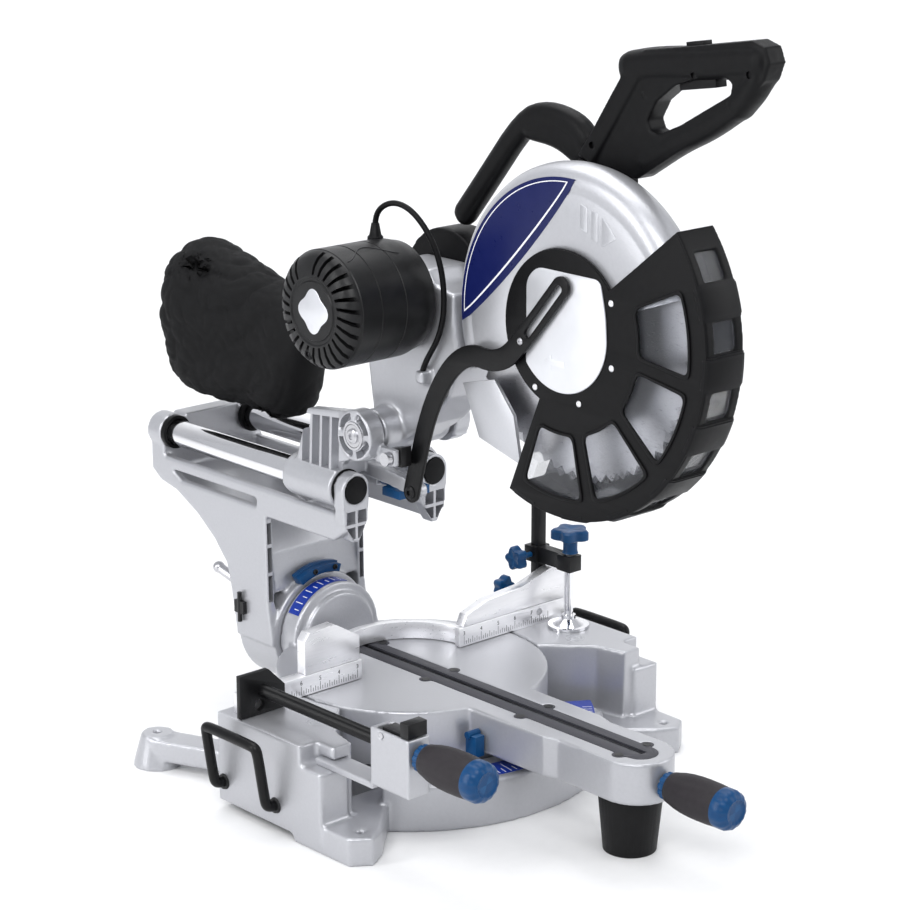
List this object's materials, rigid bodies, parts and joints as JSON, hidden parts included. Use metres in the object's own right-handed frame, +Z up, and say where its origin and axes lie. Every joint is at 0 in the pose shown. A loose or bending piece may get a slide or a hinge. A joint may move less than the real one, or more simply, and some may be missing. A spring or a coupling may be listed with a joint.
{
  "type": "sliding mitre saw",
  "caption": "Sliding compound mitre saw: cast base with turntable, twin chrome rails, tilting column, chop head with guarded blade, clamps and dust bag.",
  "frame": {"origin": "turntable pivot axis at ground level, which is also the centre of the four bench bolt holes", "axes": "+X along the fence to the operator's right, -Y towards the operator, +Z up"},
  "size_m": [0.537, 0.8667, 0.809],
  "materials": {
    "cast_silver": "painted casting, satin",
    "machined": "milled satin",
    "insert_dark": "moulded matte",
    "black_plastic": "fine moulded grain",
    "black_metal": "powder coat",
    "grip_rubber": "soft touch",
    "foot_rubber": "moulded",
    "blue_plastic": "semi gloss",
    "chrome": "polished",
    "steel": "ground",
    "clear_guard": "clear polycarbonate",
    "bag_fabric": "woven",
    "copper": "enamelled winding",
    "label_blue": "printed film"
  },
  "bodies": {
    "base": {"base_casting": "cast_silver", "fence": "machined", "carry_bars": "black_metal", "turntable_pivot_bolt": "steel", "hold_down_post": "black_metal", "clamp_body": "cast_silver", "clamp_lever_pin": "steel"},
    "left_fence": {"fence_upper_left": "machined"},
    "right_fence": {"fence_upper_right": "machined"},
    "fence_lock": {"fence_knob": "blue_plastic"},
    "turntable": {"turntable_casting": "cast_silver", "kerf_insert": "insert_dark", "insert_screws": "black_metal", "front_foot": "foot_rubber"},
    "mitre_handle": {"mitre_lock_rod": "steel", "mitre_grip": "grip_rubber", "mitre_grip_cap": "blue_plastic"},
    "detent": {"detent_lever": "blue_plastic"},
    "column": {"column_casting": "cast_silver", "slide_rails": "chrome", "rail_caps": "black_plastic", "bevel_pointer": "blue_plastic"},
    "bevel_lever": {"bevel_lock_lever": "steel"},
    "carriage": {"carriage_casting": "cast_silver", "sleeve_seals": "foot_rubber", "chop_pivot_shaft": "steel", "head_lock_housing": "black_metal"},
    "head_lock": {"head_lock_pin": "steel"},
    "slide_lock": {"slide_lock_lever": "blue_plastic"},
    "link": {"guard_link": "black_metal"},
    "head": {"head_arm": "cast_silver", "upper_guard": "cast_silver", "belt_housing": "black_plastic", "motor_housing": "black_plastic", "motor_end_cap": "black_plastic", "motor_stator": "copper", "drive_belt": "foot_rubber", "motor_lead": "black_plastic", "carry_handle": "black_plastic", "main_handle_left": "black_plastic", "main_handle_right": "black_plastic", "dust_chute": "cast_silver", "dust_port": "black_plastic", "dust_bag": "bag_fabric"},
    "armature": {"motor_armature": "steel"},
    "trigger_body": {"trigger": "black_plastic"},
    "lock_off": {"lock_off_button": "black_plastic"},
    "saw_blade": {"blade": "steel", "arbor_shaft": "steel"},
    "lower_guard": {"lower_guard_frame": "black_plastic", "lower_guard_windows": "clear_guard", "lower_guard_plate": "steel"},
    "clamp_screw": {"clamp_bar": "black_metal"},
    "clamp_handle": {"clamp_grip": "grip_rubber", "clamp_grip_cap": "blue_plastic"},
    "clamp_quick_lever": {"clamp_lever": "black_metal"},
    "hold_arm": {"hold_down_arm": "black_metal"},
    "hold_screw": {"hold_down_spindle": "chrome", "hold_down_knob": "blue_plastic"},
    "hold_arm_lock": {"hold_down_arm_knob": "blue_plastic"}
  },
  "joints": [
    {"name": "mitre", "type": "hinge", "parent": "base", "child": "turntable", "pos_m": [0, 0, 0], "axis": [0, 0, 1], "range_deg": [-15, 45]},
    {"name": "bevel", "type": "hinge", "parent": "turntable", "child": "column", "pos_m": [0, 0.18, 0.106], "axis": [0, -1, 0], "range_deg": [0, 38]},
    {"name": "slide", "type": "slide", "parent": "column", "child": "carriage", "axis": [0, 1, 0], "range_m": [0, 0.19]},
    {"name": "chop", "type": "hinge", "parent": "carriage", "child": "head", "pos_m": [0, 0.01, 0.37], "axis": [1, 0, 0], "range_deg": [0, 54], "stiffness_Nm_per_rad": 11, "springref_deg": -97.4},
    {"name": "guard", "type": "hinge", "parent": "head", "child": "lower_guard", "pos_m": [0, -0.25, 0.52], "axis": [1, 0, 0], "range_deg": [-133, 0]},
    {"name": "guard_link_turn", "type": "hinge", "parent": "carriage", "child": "link", "pos_m": [0, -0.037, 0.312], "axis": [1, 0, 0], "range_deg": [0, 70]},
    {"name": "blade_spin", "type": "hinge", "parent": "head", "child": "saw_blade", "pos_m": [0, -0.25, 0.52], "axis": [1, 0, 0], "continuous": true},
    {"name": "motor_spin", "type": "hinge", "parent": "head", "child": "armature", "pos_m": [0, -0.015, 0.517], "axis": [1, 0, 0], "continuous": true},
    {"name": "trigger_pull", "type": "slide", "parent": "head", "child": "trigger_body", "axis": [0, 0.1599, 0.9871], "range_m": [0, 0.0045], "stiffness_N_per_m": 800, "springref_m": -0.004},
    {"name": "lock_off_press", "type": "slide", "parent": "head", "child": "lock_off", "axis": [0, -0.1599, -0.9871], "range_m": [0, 0.003], "stiffness_N_per_m": 800, "springref_m": -0.003},
    {"name": "mitre_lock", "type": "hinge", "parent": "turntable", "child": "mitre_handle", "pos_m": [0, -0.376, 0.082], "axis": [0, -1, 0], "range_deg": [0, 120]},
    {"name": "detent_press", "type": "hinge", "parent": "turntable", "child": "detent", "pos_m": [-0.05, -0.153, 0.084], "axis": [-1, 0, 0], "range_deg": [0, 14], "stiffness_Nm_per_rad": 0.5, "springref_deg": -17.19},
    {"name": "bevel_lock", "type": "hinge", "parent": "column", "child": "bevel_lever", "pos_m": [0, 0.217, 0.106], "axis": [0, 1, 0], "range_deg": [0, 40]},
    {"name": "slide_lock_turn", "type": "hinge", "parent": "carriage", "child": "slide_lock", "pos_m": [0, 0.03, 0.306], "axis": [0, 1, 0], "range_deg": [0, 40]},
    {"name": "head_lock_pull", "type": "slide", "parent": "carriage", "child": "head_lock", "axis": [-1, 0, 0], "range_m": [0, 0.006]},
    {"name": "clamp_travel", "type": "slide", "parent": "base", "child": "clamp_screw", "axis": [0, -1, 0], "range_m": [0, 0.12]},
    {"name": "clamp_turn", "type": "hinge", "parent": "clamp_screw", "child": "clamp_handle", "pos_m": [-0.211, -0.254, 0.132], "axis": [0, -1, 0], "continuous": true},
    {"name": "clamp_release", "type": "hinge", "parent": "base", "child": "clamp_quick_lever", "pos_m": [-0.211, -0.21, 0.145], "axis": [-1, 0, 0], "range_deg": [0, 40]},
    {"name": "hold_height", "type": "slide", "parent": "base", "child": "hold_arm", "axis": [0, 0, 1], "range_m": [0, 0.06]},
    {"name": "hold_travel", "type": "slide", "parent": "hold_arm", "child": "hold_screw", "axis": [0, 0, 1], "range_m": [0, 0.045]},
    {"name": "hold_lock_turn", "type": "hinge", "parent": "hold_arm", "child": "hold_arm_lock", "pos_m": [0.18, 0.021, 0.181], "axis": [-1, 0, 0], "continuous": true},
    {"name": "left_fence_slide", "type": "slide", "parent": "base", "child": "left_fence", "axis": [-1, 0, 0], "range_m": [0, 0.07]},
    {"name": "right_fence_slide", "type": "slide", "parent": "base", "child": "right_fence", "axis": [1, 0, 0], "range_m": [0, 0.03]},
    {"name": "fence_lock_turn", "type": "hinge", "parent": "base", "child": "fence_lock", "pos_m": [0.165, 0.02, 0.147], "axis": [0, 1, 0], "continuous": true}
  ],
  "couplings": [
    {"joint": "guard", "follows": "chop", "ratio": -2.46},
    {"joint": "guard_link_turn", "follows": "chop", "ratio": 1.26},
    {"joint": "motor_spin", "follows": "blade_spin", "ratio": 1.7143}
  ]
}
